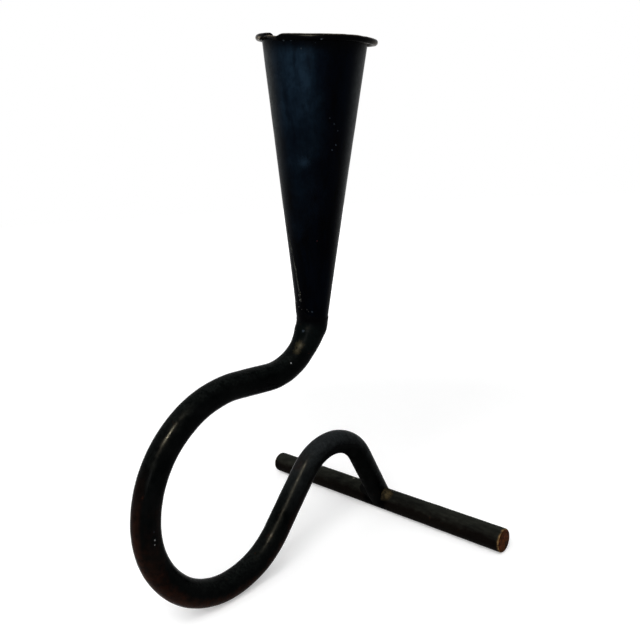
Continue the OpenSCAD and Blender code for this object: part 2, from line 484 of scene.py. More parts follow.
def sheet_section(opened, tipped, angle):
    """Middle line of the sheet from the small end to the tip of the roll.

    opened is 0 where the rim is a full roll and 1 where it is a flat lip.
    tipped is how far the flange slopes down outwards, in degrees.
    Returns (radius, height, heading from upright, share of the rim)."""
    def mix(full, flat):
        return full + (flat - full) * opened

    leftward = math.cos(math.radians(angle - LEFT))
    bend = mix(BEND_RADIUS - 0.25 * leftward, LIP_BEND)
    start = mix(RIM_TOP - BEND_RISE * bend, LIP_START)
    flange = mix(FLANGE - 0.51 * leftward, LIP_FLANGE)
    roll_turn = mix(ROLL_TURN, LIP_TURN)
    slope = math.degrees(math.atan2(MOUTH_RADIUS - SMALL_RADIUS, WALL_HEIGHT))
    section = []
    for i in range(WALL_ROWS + 1):
        height = start * i / WALL_ROWS
        section.append((wall_radius(height), height, slope, 0.0))
    radius, height, heading, _ = section[-1]
    for size, turning, steps in ((bend, 90 + tipped - slope, BEND_ROWS),
                                 (flange, 0, FLANGE_ROWS),
                                 (ROLL_RADIUS, roll_turn - tipped, ROLL_ROWS)):
        for i in range(1, steps + 1):
            before = math.radians(heading)
            if turning == 0:
                radius += size / steps * math.sin(before)
                height += size / steps * math.cos(before)
            else:
                heading += turning / steps
                after = math.radians(heading)
                radius += size * (math.cos(before) - math.cos(after))
                height += size * (math.sin(after) - math.sin(before))
            section.append((radius, height, heading, 1.0))
    return section


# %% Height of the mouth around the cup
FRONT = math.radians(LEFT + 89)
TILT = Vector((0.041, -0.0272))
FRONT_SAG = 0.045
SIDE_LIFTS = ((0.45, LEFT, 42), (0.30, RIGHT - 60, 30), (-0.22, RIGHT, 40))
END_LIFT = 0.30
END_ANGLE = 78


def hill(angle, top, width):
    """A smooth hill over angles: 1 at its top, near 0 two widths away."""
    return math.exp(-(((angle - top + 180) % 360 - 180) / width) ** 2)


def rim_sway(x, y, angle, height):
    """The mouth isn't square to the axis: it hangs at the front and lifts behind."""
    front = x * math.cos(FRONT) + y * math.sin(FRONT)
    tilt = TILT.x * x + TILT.y * y - FRONT_SAG * front
    sides = sum(lift * hill(angle, top, width) for lift, top, width in SIDE_LIFTS)
    end = END_LIFT * hill(angle, END_ANGLE, 14) * smooth_step(height, 100, 106)
    return smooth_step(height, 55, 106) * (tilt + sides + end)


# %% Angles around the cup
OPEN_END = 84.5
LIP_END = 95.5
RAMP_END = 103.5
FINE_STEP = 0.75
COARSE_STEP = 1.5

angles = []
swept = 0.0
while swept < 360:
    angles.append(OPEN_END - swept)
    near_opening = swept < 30 or swept > 320
    swept += FINE_STEP if near_opening else COARSE_STEP
angles.append(OPEN_END - 360)
print("columns around the cup:", len(angles))

# %% [markdown]
# ## Wear, painted light and painted shade stored on the cup
#
# The paint of the cup changes from place to place: pale bands of painted reflection lie
# along its two sides, a bluer painted light with a painted highlight streak runs down
# its front, the rim and the band under it are painted dark as shade, the roll is rubbed
# to bare metal on its crest and carries painted highlights, and its hollow end is
# painted black as shade. Masks for these could be painted by hand. Here they are worked
# out from the angle and the height of each point, and stored on the mesh as values that
# the material will read.

# %% Layers of paint on the cup
PAINTED_LIGHT_ANGLE = 108
HIGHLIGHT_STREAK_ANGLE = 123
REFLECTION_LEFT = 64
REFLECTION_RIGHT = 202
HOLLOW_END = (67, 75)
CREST_HEADING = 104
HOLLOW_HEADING = 150
UNDER_HEADING = (168, 188)


def cup_wear(angle, before_opening, height, heading, rim, outside_face):
    """How much of each layer lies on a point of the sheet, from 0 to 1."""
    hollow = smooth_step(angle, *HOLLOW_END) if before_opening else 0
    # Painted highlight: a narrow lighter streak down the front, towards the top.
    streak = 0.5 * hill(angle, HIGHLIGHT_STREAK_ANGLE, 7) * smooth_step(height, 72, 106)
    # Painted light: a lighter blue towards the front and the top, where light falls.
    painted_light = 0.10 + 0.62 * hill(angle, PAINTED_LIGHT_ANGLE, 34) + streak
    edge_reflection = 0.0
    # Painted shade: the hollow end of the roll is painted black.
    hollow_shade = rim * hollow
    if outside_face:
        # Painted reflection: pale bands near the two sides of the cup, on the outside of the
        # wall.
        band = (hill(angle, REFLECTION_LEFT, 15) * smooth_step(height, 20, 106)
                + hill(angle, REFLECTION_RIGHT, 12) * smooth_step(height, -30, 100))
        edge_reflection = min(1.0, band) * (1 - rim)
        # Rubbed metal and painted highlight on the outside of the roll, near both sides of the
        # cup.
        ends = hill(angle, LEFT, 24) + hill(angle, RIGHT, 22)
        rubbed_and_lit_crest = 0.7 * rim * min(1.0, ends)
    else:
        under = smooth_step(angle, 30, 55) if before_opening else 0
        under = max(under, hill(angle, RIGHT, 20))
        # Rubbed metal and painted highlight along the top of the roll, and on the underside of
        # its tip in places.
        top = rim * math.exp(-((heading - CREST_HEADING) / 21) ** 2)
        rubbed_and_lit_crest = max(top * (1 - 0.6 * hollow), under * smooth_step(heading, *UNDER_HEADING))
        hollow_shade *= math.exp(-((heading - HOLLOW_HEADING) / 28) ** 2)
    return {"shade": max(rim, 0.85 * smooth_step(height, 100.0, 104.4)), "rubbed_and_lit_crest": rubbed_and_lit_crest,
            "painted_light": painted_light * smooth_step(height, 10, 112), "edge_reflection": edge_reflection, "hollow_shade": hollow_shade}


# %% One column of the sheet
SLANT = 27.0
SLANT_REACH = 46.0
TIP = 16.0
TIP_REACH = 26.0
DENTS = ((0.10, 30, 1.3), (0.035, 7, 4.4))
JAGS = ((0.10, 4.5, 7.7), (0.05, 1.6, 2.9))


def cup_column(angle, before_opening):
    """Points around the sheet's section at one angle: up inside and down outside.

    The roll stops before the opening on a slant; after it, a flat lip ramps up."""
    opened, tipped, slant = 0.0, 0.0, 0.0
    if before_opening:
        tipped = TIP * math.exp(-((OPEN_END - angle) / TIP_REACH) ** 2)
        slant = SLANT * max(0.0, 1 - (OPEN_END - angle) / SLANT_REACH)
    else:
        opened = 1 - smooth_step(angle + 360, LIP_END, RAMP_END)
    oval = 0.24 + 0.30 * math.cos(math.radians(angle - LEFT))
    inner, outer = [], []
    for row, (radius, height, heading, rim) in enumerate(sheet_section(opened, tipped, angle)):
        along_roll = max(0.0, (row - ROLL_START) / ROLL_ROWS)
        radians = math.radians(angle - slant * along_roll)
        ray = Vector((math.cos(radians), math.sin(radians), 0))
        place = ray * radius + Vector((0, 0, height))
        swell = relief(place, DENTS) * smooth_step(height, 2, 12)
        swell += oval * smooth_step(height, 5, 90)
        jag = relief(place, JAGS) * rim
        lean = math.radians(heading)
        for face, side in ((inner, 0.5), (outer, -0.5)):
            reach = radius + swell - side * SHEET * math.cos(lean)
            x, y = reach * ray.x, reach * ray.y
            z = height + jag + side * SHEET * math.sin(lean) + rim_sway(x, y, angle, height)
            wear = cup_wear(angle, before_opening, height, heading, rim, side < 0)
            face.append((Vector((x, y, z)), rim, wear))
    return inner + list(reversed(outer))


# %% Points of the cup
cup_points, columns = [], []
cup_layers = {"shade": [], "rubbed_and_lit_crest": [], "painted_light": [], "edge_reflection": [], "hollow_shade": []}
for n, angle in enumerate(angles):
    column = []
    for m, (spot, rim, wear) in enumerate(cup_column(angle, n <= len(angles) / 2)):
        if n == len(angles) - 1 and rim == 0:
            column.append(columns[0][m])
            continue
        column.append(len(cup_points))
        cup_points.append(at_cup @ spot)
        for layer, share in wear.items():
            cup_layers[layer].append(share)
    columns.append(column)
print("points of the cup:", len(cup_points))

# %% Cup mesh
cup_faces = []
size = len(columns[0])
for before, after in zip(columns, columns[1:]):
    for m in range(size):
        k = (m + 1) % size
        cup_faces.append((before[m], before[k], after[k], after[m]))
for column in (columns[0], columns[-1]):
    for m in range(WALL_ROWS, size // 2 - 1):
        cup_faces.append((column[m], column[m + 1], column[size - 2 - m], column[size - 1 - m]))
cone_cup = make_mesh("cone_cup_sheet", cup_points, cup_faces, sharp=55)
for layer, shares in cup_layers.items():
    store_layer(cone_cup, layer, shares)
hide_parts("cone_cup")

# %% [markdown]
# ## Filler on the seam
#
# The seam of the cone was closed with filler and filed flush, but a rough thread of it
# still stands on the lower part. It starts as a blob just above the neck, climbs as a
# narrow bead and then breaks up into grains. The bead is an arch over the sheet whose
# width and height change along its course.

# %% Beads and grains on the wall
def outside(angle, height, above):
    """A point at a distance above the outside of the cup's wall."""
    radians = math.radians(angle)
    reach = wall_radius(height) + SHEET / 2 + above
    return Vector((reach * math.cos(radians), reach * math.sin(radians), height))


BEAD_STEPS = 10
BEAD_SINK = 0.12
BEAD_ROOT = 0.3


def bead(course, width, tall, seed):
    """An arched bead along points (angle, height) of the cup's wall."""
    points = []
    for i, (angle, height) in enumerate(course):
        part = i / (len(course) - 1)
        taper = math.sin(math.pi * (0.02 + 0.96 * part)) ** 0.35
        vary = 1 + 0.45 * rough((height, 0, 0), 2.4, seed)
        half_angle = math.degrees(0.5 * width * vary * taper / wall_radius(height))
        for j in range(BEAD_STEPS + 1):
            t = 2 * j / BEAD_STEPS - 1
            arch = math.sqrt(max(0, 1 - t * t))
            lump = 0.10 * rough((height, 3 * t, 0), 0.9, seed + 2)
            above = -BEAD_SINK + (tall * vary * taper + BEAD_SINK + lump * taper) * arch
            points.append(at_cup @ outside(angle + t * half_angle, height, above))
        points.append(at_cup @ outside(angle, height, -BEAD_ROOT))
    return points, tube_faces(len(course), BEAD_STEPS + 2)


def seam_course(low, high, count):
    """The filler drifts to the back as it climbs."""
    course = []
    for i in range(count):
        height = low + (high - low) * i / (count - 1)
        angle = 99 - 0.55 * height - 0.0075 * height ** 2
        course.append((angle + 1.2 * rough((height, 5, 0), 3.0, 6.6), height))
    return course


GRAIN_STEPS = 10
GRAIN_SINK = 0.08


def grain(angle, height, size, seed):
    """A small lump of filler that sits on the wall: rings that close at a top point."""
    points = []
    for i in range(GRAIN_STEPS):
        tilt = math.pi / 2 * i / GRAIN_STEPS
        for j in range(GRAIN_STEPS):
            turned = 2 * math.pi * j / GRAIN_STEPS
            spread = size * math.cos(tilt) * (1 + 0.25 * rough((i, j, 0), 2.0, seed))
            sideways = math.degrees(spread * math.cos(turned) / wall_radius(height))
            above = -GRAIN_SINK + (0.75 * size + GRAIN_SINK) * math.sin(tilt)
            points.append(at_cup @ outside(angle + sideways,
                                           height + spread * math.sin(turned), above))
    points.append(at_cup @ outside(angle, height, 0.75 * size))
    top = len(points) - 1
    last = top - GRAIN_STEPS
    faces = ring_faces(GRAIN_STEPS, GRAIN_STEPS) + [tuple(range(GRAIN_STEPS))]
    faces += [(last + j, last + (j + 1) % GRAIN_STEPS, top) for j in range(GRAIN_STEPS)]
    return points, faces


# %% Ridge on the seam
GRAINS = ((94, 9.2, 0.62), (92, 11.3, 0.7), (95, 12.4, 0.36), (84, 6.2, 0.34),
          (96, 5.4, 0.22), (116, 5.6, 0.3), (121, 4.9, 0.22), (69, 34.4, 0.34),
          (66, 41.0, 0.3))

ridge_parts = [bead(seam_course(9, 27, 90), width=0.75, tall=0.34, seed=3.3),
               bead(seam_course(27.5, 33.5, 36), width=0.8, tall=0.40, seed=8.1),
               bead(seam_course(35.0, 39.5, 30), width=1.1, tall=0.46, seed=5.2)]
ridge_parts += [grain(angle, height, size, seed=angle) for angle, height, size in GRAINS]
ridge_points, ridge_faces = [], []
for points, faces in ridge_parts:
    start = len(ridge_points)
    ridge_points += points
    ridge_faces += [tuple(start + v for v in f) for f in faces]
seam_ridge = make_mesh("cup_seam_braze_ridge", ridge_points, ridge_faces, sharp=70)
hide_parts("cup_seam_braze")

# %% [markdown]
# ## The collar of filler at the neck
#
# Under the cup a collar of filler joins the sheet to the rod. At its top it is as wide
# as the cup's small end, and below it runs out on the rod, which is already bending
# away. It is a sleeve whose centre and width slide from the cup's axis to the rod's
# middle line, roughened like a hand-made joint. Its top is painted darker as shade under
# the cup, so each point also stores how near it is to the cup.

# %% Rings of the collar
LOW_REACH = 14.0
TOP_RINGS = 24
LINE_END = 70

base = at_cup.translation
axis = (at_cup.to_3x3() @ Vector((0, 0, 1))).normalized()
stations = [(base + STEP * k * axis, rod_frames[-1], STEP * k) for k in range(TOP_RINGS, 0, -1)]
for centre, frame_now in reversed(list(zip(middle_line[-LINE_END:], rod_frames[-LINE_END:]))):
    along = (centre - base).dot(axis)
    if -LOW_REACH <= along <= 0:
        stations.append((centre, frame_now, along))
print("rings of the collar:", len(stations))

# %% Collar
LOBE_ANGLE = 52
LEAST_WALL = 0.22
WALL_SLOPE = 0.124
DAUBED = ((0.10, 2.3, 1.9), (0.05, 0.8, 7.2))
# Painted shade: the top of the collar is black under the cup.
SHADE_UNDER_CUP = (-4.5, 1.0)

to_cup = at_cup.inverted().to_3x3()


def collar_reach(angle, out, along, thin):
    """The collar's radius on one side, and how much of its roughness shows there."""
    local = to_cup @ out
    lobe = hill(math.degrees(math.atan2(local.y, local.x)), LOBE_ANGLE, 58)
    top = 2.4 + 6.6 * lobe + 0.5 * rough((math.cos(angle), math.sin(angle), 0), 0.4, 3.3)
    wall = SMALL_RADIUS + SHEET + WALL_SLOPE * max(0.0, along)
    full = 6.25 + 0.3 * lobe + 0.015 * along
    over_wall = LEAST_WALL + max(0.0, full - wall - LEAST_WALL)
    if along > 0:
        over_wall *= 1 - smooth_step(along, 0.35 * top, top)
        over_wall -= 0.25 * smooth_step(along, 0.8 * top, top + 0.3)
    radius = wall + over_wall
    radius += (ROD_RADIUS + 0.18 - radius) * thin
    return radius, (1 - thin) * (1 - smooth_step(along, 0.7 * top, top))


collar_points, collar_tops = [], []
for centre, (across, over, ahead), along in stations:
    thin = smooth_step(-along, 1.5, LOW_REACH)
    middle = (base + along * axis).lerp(centre, smooth_step(-along, 0.2, 5.5))
    for angle, out in spokes(across, over):
        radius, roughness = collar_reach(angle, out, along, thin)
        lump = relief(middle + radius * out, DAUBED)
        collar_points.append(middle + (radius + lump * roughness) * out)
        collar_tops.append(smooth_step(along, *SHADE_UNDER_CUP))
neck_collar = make_mesh("neck_braze_collar", collar_points, tube_faces(len(stations), AROUND))
store_layer(neck_collar, "blackened", collar_tops)
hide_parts("neck_braze")

# %% [markdown]
# ## Tools for the finishes
#
# The old paint, and the light and shade painted on it, are made of a few effects that
# come back on every piece: the colour drifts in soft clouds, rust shows through in
# spots, the skin has fine grain, grey dust and painted light lie on what looks up, and
# there are pale specks, rubbed places and painted highlights. Each effect is a node
# group, built once, with its own named inputs. A piece's material places the groups it
# needs and gives them its own values.

# %% Helpers for nodes
def tone(red, green, blue):
    """A colour as a painter mixes it on screen, 0 to 255, turned into light."""
    def light(v):
        v = v / 255
        return v / 12.92 if v <= 0.04045 else ((v + 0.055) / 1.055) ** 2.4
    return (light(red), light(green), light(blue), 1.0)


def feed(tree, socket, value):
    """Links a socket to another one, or sets its value."""
    if isinstance(value, bpy.types.NodeSocket):
        tree.links.new(value, socket)
    else:
        socket.default_value = value


def add_noise(tree, place, scale, detail, rough_part, warp=0.0):
    """Noise with so many features in a metre, so many finer layers and their share."""
    node = tree.nodes.new("ShaderNodeTexNoise")
    feed(tree, node.inputs["Vector"], place)
    feed(tree, node.inputs["Scale"], scale)
    feed(tree, node.inputs["Detail"], detail)
    feed(tree, node.inputs["Roughness"], rough_part)
    feed(tree, node.inputs["Distortion"], warp)
    return node.outputs["Fac"]


def add_range(tree, value, low, high, to_low=0.0, to_high=1.0):
    """Stretches a value from low to high over another range, and stops at its ends."""
    node = tree.nodes.new("ShaderNodeMapRange")
    for name, part in (("Value", value), ("From Min", low), ("From Max", high),
                       ("To Min", to_low), ("To Max", to_high)):
        feed(tree, node.inputs[name], part)
    return node.outputs["Result"]


def add_patches(tree, place, scale, detail, rough_part, cut, ends=(0.0, 1.0)):
    """Noise cut into patches between two levels, and stretched from one end to another."""
    return add_range(tree, add_noise(tree, place, scale, detail, rough_part), *cut, *ends)


def add_math(tree, operation, first, second=0.0):
    """One step of arithmetic on values or sockets."""
    node = tree.nodes.new("ShaderNodeMath")
    node.operation = operation
    feed(tree, node.inputs[0], first)
    feed(tree, node.inputs[1], second)
    return node.outputs[0]


def add_mix(tree, share, first, second):
    """A colour between two: the first where share is 0 and the second where it is 1."""
    node = tree.nodes.new("ShaderNodeMix")
    node.data_type = "RGBA"
    feed(tree, node.inputs["Factor"], share)
    colours = [s for s in node.inputs if s.type == "RGBA"]
    feed(tree, colours[0], first)
    feed(tree, colours[1], second)
    return [s for s in node.outputs if s.type == "RGBA"][0]


def add_coat(tree, colour, coat, *masks):
    """Lays a coat over a colour, as far as all of its masks let it."""
    share = masks[0]
    for mask in masks[1:]:
        share = add_math(tree, "MULTIPLY", share, mask)
    return add_mix(tree, share, colour, coat)


def start_group(name, inputs, outputs):
    """A new shader node group with named sockets; returns tree, inputs and outputs."""
    tree = bpy.data.node_groups.new(name, "ShaderNodeTree")
    kinds = {"float": "NodeSocketFloat", "vector": "NodeSocketVector",
             "colour": "NodeSocketColor"}
    for label, kind in inputs:
        tree.interface.new_socket(name=label, in_out="INPUT", socket_type=kinds[kind])
    for label, kind in outputs:
        tree.interface.new_socket(name=label, in_out="OUTPUT", socket_type=kinds[kind])
    source = tree.nodes.new("NodeGroupInput")
    sink = tree.nodes.new("NodeGroupOutput")
    return tree, source.outputs, sink.inputs


def place_group(tree, group, **values):
    """Places a group with its own values and returns its outputs."""
    node = tree.nodes.new("ShaderNodeGroup")
    node.node_tree = group
    for name, value in values.items():
        feed(tree, node.inputs[name], value)
    return node.outputs


# %% Group: soft clouds of colour
clouds, given, out = start_group(
    "paint_clouds",
    [("Place", "vector"), ("Size", "float"), ("Dark", "colour"), ("Light", "colour")],
    [("Colour", "colour"), ("Share", "float")])
large = add_noise(clouds, given["Place"], given["Size"], 3, 0.5, 0.4)
small_size = add_math(clouds, "MULTIPLY", given["Size"], 6.5)
small = add_noise(clouds, given["Place"], small_size, 5, 0.6, 0.2)
both = add_math(clouds, "ADD", add_math(clouds, "MULTIPLY", large, 0.62),
                add_math(clouds, "MULTIPLY", small, 0.38))
share = add_range(clouds, both, 0.38, 0.62)
feed(clouds, out["Share"], share)
feed(clouds, out["Colour"], add_mix(clouds, share, given["Dark"], given["Light"]))
print("group", clouds.name, "is ready")

# %% Group: fine grain of the skin
grain_skin, given, out = start_group(
    "skin_grain", [("Place", "vector"), ("Size", "float")], [("Height", "float")])
coarse = add_noise(grain_skin, given["Place"], given["Size"], 5, 0.6)
fine_size = add_math(grain_skin, "MULTIPLY", given["Size"], 4.2)
fine = add_noise(grain_skin, given["Place"], fine_size, 3, 0.5)
feed(grain_skin, out["Height"],
     add_math(grain_skin, "ADD", add_math(grain_skin, "MULTIPLY", coarse, 0.55),
              add_math(grain_skin, "MULTIPLY", fine, 0.45)))
print("group", grain_skin.name, "is ready")

# %% Group: rust that shows through in spots
rust_spots, given, out = start_group(
    "rust_spots", [("Place", "vector"), ("Size", "float"), ("Amount", "float")],
    [("Mask", "float"), ("Colour", "colour")])
field = add_noise(rust_spots, given["Place"], given["Size"], 8, 0.68, 0.6)
low = add_range(rust_spots, given["Amount"], 0, 1, 0.78, 0.30)
high = add_math(rust_spots, "ADD", low, 0.10)
feed(rust_spots, out["Mask"], add_range(rust_spots, field, low, high))
shade_size = add_math(rust_spots, "MULTIPLY", given["Size"], 2.7)
shade = add_patches(rust_spots, given["Place"], shade_size, 4, 0.6, cut=(0.4, 0.62))
feed(rust_spots, out["Colour"],
     add_mix(rust_spots, shade, tone(34, 16, 8), tone(84, 42, 20)))
print("group", rust_spots.name, "is ready")

# %% Group: sides that look up or down
facing, given, out = start_group(
    "facing_height", [("Place", "vector"), ("Start", "float"), ("Full", "float")],
    [("Mask", "float")])
geometry = facing.nodes.new("ShaderNodeNewGeometry")
parts = facing.nodes.new("ShaderNodeSeparateXYZ")
feed(facing, parts.inputs[0], geometry.outputs["Normal"])
broken = add_math(facing, "MULTIPLY",
                  add_math(facing, "SUBTRACT",
                           add_noise(facing, given["Place"], 260.0, 5, 0.6), 0.5), 0.9)
upward = add_math(facing, "ADD", parts.outputs["Z"], broken)
feed(facing, out["Mask"], add_range(facing, upward, given["Start"], given["Full"]))
print("group", facing.name, "is ready")

# %% Group: one spot at a chosen place, for specks, rubbed spots and painted highlights
chip_spot, given, out = start_group(
    "chip_spot", [("Place", "vector"), ("Centre", "vector"), ("Radius", "float")],
    [("Mask", "float"), ("Haze", "float")])
apart = chip_spot.nodes.new("ShaderNodeVectorMath")
apart.operation = "DISTANCE"
feed(chip_spot, apart.inputs[0], given["Place"])
feed(chip_spot, apart.inputs[1], given["Centre"])
ragged = add_patches(chip_spot, given["Place"], 1500.0, 3, 0.6,
                     cut=(0.25, 0.75), ends=(0.45, 1.55))
near = add_math(chip_spot, "DIVIDE", apart.outputs["Value"],
                add_math(chip_spot, "MULTIPLY", given["Radius"], ragged))
feed(chip_spot, out["Mask"], add_range(chip_spot, near, 1.05, 0.75))
feed(chip_spot, out["Haze"], add_range(chip_spot, near, 1.7, 0.1))
print("group", chip_spot.name, "is ready")


# %% Start of a material
def start_material(name):
    """An empty material with one Principled BSDF and object coordinates."""
    material = bpy.data.materials.new(name)
    material.use_nodes = True
    tree = material.node_tree
    tree.nodes.clear()
    shader = tree.nodes.new("ShaderNodeBsdfPrincipled")
    output = tree.nodes.new("ShaderNodeOutputMaterial")
    tree.links.new(shader.outputs["BSDF"], output.inputs["Surface"])
    place = tree.nodes.new("ShaderNodeTexCoord").outputs["Object"]
    return material, tree, shader, place


def add_layer(tree, name):
    """A value that was stored on the points of the mesh."""
    node = tree.nodes.new("ShaderNodeAttribute")
    node.attribute_name = name
    return node.outputs["Fac"]


def set_surface(tree, shader, place, colour, roughness, grain_size, depth, gloss):
    """Colour, roughness, grain of the skin, its depth in mm, and strength of the gloss."""
    feed(tree, shader.inputs["Base Color"], colour)
    feed(tree, shader.inputs["Roughness"], roughness)
    skin = place_group(tree, grain_skin, Place=place, Size=grain_size)
    bump = tree.nodes.new("ShaderNodeBump")
    feed(tree, bump.inputs["Height"], skin["Height"])
    bump.inputs["Strength"].default_value = 1.0
    bump.inputs["Distance"].default_value = depth * MM
    tree.links.new(bump.outputs["Normal"], shader.inputs["Normal"])
    shader.inputs["Specular IOR Level"].default_value = gloss


def add_chips(tree, place, colour, spots, edge="Mask"):
    """Paints spots over a colour: each has a centre and a radius in mm, and a colour."""
    for centre, radius, spot_colour in spots:
        mask = place_group(tree, chip_spot, Place=place,
                           Centre=tuple(v * MM for v in centre), Radius=radius * MM)
        colour = add_mix(tree, mask[edge], colour, spot_colour)
    return colour


# %% [markdown]
# ## Paint of the cup
#
# The cup is a blue black with a satin shine, cooler than the rod. Its lower part is
# nearly black; towards the front and the top a lighter, cloudier blue comes in as painted
# light, where it was stored on the mesh, with a narrow painted highlight streak. Dark
# streaks, pale bands of painted reflection along both sides, a hazy smear and a few
# specks keep it from looking like new plastic. The rim and the band just under it are
# painted dark as shade, and the hollow end of the roll is painted black as shade. The
# crest of the roll is rubbed to brown metal, and painted highlights lie on it.
#
# The strength of the gloss is set very low on every piece. The room is white all round,
# and black paint with common gloss would mirror it as a grey veil.

# %% Specks of the cup
PALE, FAINT, DULL = tone(110, 112, 112), tone(58, 64, 70), tone(38, 44, 50)
CUP_SPECKS = [((-60.5, -15.2, 201.6), 0.34, FAINT), ((-59.7, -18.0, 201.1), 0.30, DULL),
              ((-57.9, -20.8, 198.3), 0.32, DULL), ((-55.1, -25.1, 199.7), 0.28, DULL),
              ((-55.7, -28.6, 199.9), 0.34, FAINT), ((-50.0, -31.9, 199.5), 0.36, DULL),
              ((-48.2, -23.6, 175.5), 0.24, DULL), ((-46.4, -23.8, 173.5), 0.26, DULL),
              ((-44.5, -23.8, 171.2), 0.22, DULL), ((-44.6, -22.6, 166.4), 0.32, DULL),
              ((-46.0, -21.8, 164.7), 0.26, DULL), ((-46.2, -6.9, 103.8), 0.34, DULL),
              ((-47.5, -13.2, 131.9), 0.22, tone(46, 24, 26))]
print("specks on the cup:", len(CUP_SPECKS))

# %% Tones of the cup's paint
SATIN = 0.007
CUP_SMEARS = [((-53.5, -14.6, 161.0), 1.5, tone(16, 27, 37))]
PAINTED_LIGHT_EDGE = (0.08, 0.95)
DARK_STREAK = tone(1, 2, 6)
EDGE_REFLECTION = tone(50, 53, 54)
RIM_SHADE = tone(2, 2, 3)
RUBBED_METAL_AND_HIGHLIGHT = tone(112, 103, 88)
CUP_RUST = tone(38, 34, 30)
BLACK = tone(0, 0, 0)
print("strength of the gloss", SATIN)

# %% Cup paint: two blues under the painted light
cup_paint, tree, shader, place = start_material("cup_paint")
brushed = tree.nodes.new("ShaderNodeMapping")
feed(tree, brushed.inputs["Vector"], place)
brushed.inputs["Scale"].default_value = (1.0, 1.0, 0.10)
upper = place_group(tree, clouds, Place=place, Size=55.0,
                    Dark=tone(8, 18, 28), Light=tone(22, 37, 50))
lower = place_group(tree, clouds, Place=brushed.outputs["Vector"], Size=80.0,
                    Dark=tone(0, 0, 1), Light=tone(0, 3, 9))
# Painted light: the lighter blue of the front and the top of the cup.
drift = add_math(tree, "SUBTRACT", add_noise(tree, place, 60.0, 4, 0.6), 0.5)
painted_light = add_math(tree, "ADD", add_layer(tree, "painted_light"),
                 add_math(tree, "MULTIPLY", drift, 0.6))
colour = add_mix(tree, add_range(tree, painted_light, *PAINTED_LIGHT_EDGE), lower["Colour"], upper["Colour"])
print("nodes after the blues:", len(tree.nodes))

# %% Cup paint: streaks, a smear and painted edge reflections
streak = add_patches(tree, brushed.outputs["Vector"], 260.0, 4, 0.6,
                     cut=(0.46, 0.66), ends=(0.0, 0.6))
colour = add_coat(tree, colour, DARK_STREAK, streak)
colour = add_chips(tree, place, colour, CUP_SMEARS, "Haze")
# Painted reflection: pale patchy bands along both sides of the cup.
reflection_patches = add_patches(tree, place, 420.0, 5, 0.6, cut=(0.25, 0.70), ends=(0.45, 1.0))
colour = add_coat(tree, colour, EDGE_REFLECTION, add_layer(tree, "edge_reflection"), reflection_patches)
print("nodes after the dust:", len(tree.nodes))

# %% Cup paint: painted shade and highlights on the rim, rust and specks
# Painted shade: dark on the rim and on the band just under it.
colour = add_coat(tree, colour, RIM_SHADE, add_layer(tree, "shade"))
# Rubbed metal and painted highlight on the crest of the roll.
rub = add_patches(tree, place, 520.0, 6, 0.65, cut=(0.30, 0.66))
colour = add_coat(tree, colour, RUBBED_METAL_AND_HIGHLIGHT, add_layer(tree, "rubbed_and_lit_crest"), rub)
# Painted shade: black in the hollow end of the roll.
colour = add_coat(tree, colour, BLACK, add_layer(tree, "hollow_shade"))
rust = place_group(tree, rust_spots, Place=place, Size=330.0, Amount=0.10)
colour = add_coat(tree, colour, CUP_RUST, rust["Mask"])
colour = add_chips(tree, place, colour, CUP_SPECKS)
set_surface(tree, shader, place, colour,
            add_range(tree, upper["Share"], 0, 1, 0.22, 0.32),
            grain_size=700.0, depth=0.03, gloss=SATIN)
cone_cup.data.materials.append(cup_paint)
print("material", cup_paint.name, "has", len(tree.nodes), "nodes")

# %% [markdown]
# ## Paint of the rod
#
# The rod's black is warmer. Whatever looks up is greyer, most of all on the hump: fine
# grey dust, and painted light from above. Low on the loop the outer side of the bend and
# the underside are brown with rust; on the outer side of the bend the brown is also a
# painted edge reflection. The underside of the strut near the bar is painted black as
# shade, and dull. The top of the collar is painted black as shade under the cup, and a
# few olive spots at the neck are painted highlights. One paint with these parts serves
# the rod and the collar, so it is a function; it finds the parts from the place of a
# point and from which way it looks, and so they stay where they are in every view. The
# grey tops and the brown are functions of their own, because each has several masks.

# %% Tones and places of the rod's paint
LOOP_SIDE = (-45 * MM, -65 * MM)
BELOW_NECK = (75 * MM, 62 * MM)
LOW_ON_LOOP = (64 * MM, 18 * MM)
FOOT_OF_STRUT = (60 * MM, 45 * MM)
GREY_DUST_AND_TOP_LIGHT = tone(20, 23, 22)
HUMP_DUST_AND_TOP_LIGHT = tone(34, 37, 38)
RUST_AND_REFLECTION_BROWN = tone(46, 22, 12)
COLLAR_SHADE = tone(1, 1, 2)
print("brown below a height of", LOW_ON_LOOP[0], "m")


# %% Dust with painted top light, and brown of the rod
def add_dust_and_top_light(tree, place, height, strut_part, colour):
    """Grey dust and painted light from above on whatever looks up, more on the hump."""
    above = place_group(tree, facing, Place=place, Start=0.35, Full=1.05)
    speckle = add_patches(tree, place, 1100.0, 4, 0.65, cut=(0.40, 0.66), ends=(0.1, 1.0))
    colour = add_coat(tree, colour, GREY_DUST_AND_TOP_LIGHT, above["Mask"], speckle)
    hump_top = place_group(tree, facing, Place=place, Start=-0.05, Full=0.75)
    hump_part = add_range(tree, height, *BELOW_NECK)
    mottle = add_patches(tree, place, 700.0, 4, 0.65, cut=(0.35, 0.65), ends=(0.5, 1.0))
    return add_coat(tree, colour, HUMP_DUST_AND_TOP_LIGHT, hump_top["Mask"], strut_part, hump_part, mottle)


def add_brown_bends(tree, place, height, loop_part, below, colour):
    """Brown low on the loop, on the underside and the outer side of the bend: rust, and on the
    outer side also a painted edge reflection.
    """
    low = add_range(tree, height, *LOW_ON_LOOP)
    outer_or_below = add_math(tree, "MAXIMUM", add_layer(tree, "outer"), below)
    patchy = add_patches(tree, place, 420.0, 6, 0.65, cut=(0.36, 0.62), ends=(0.2, 1.0))
    return add_coat(tree, colour, RUST_AND_REFLECTION_BROWN, loop_part, low, outer_or_below, patchy)


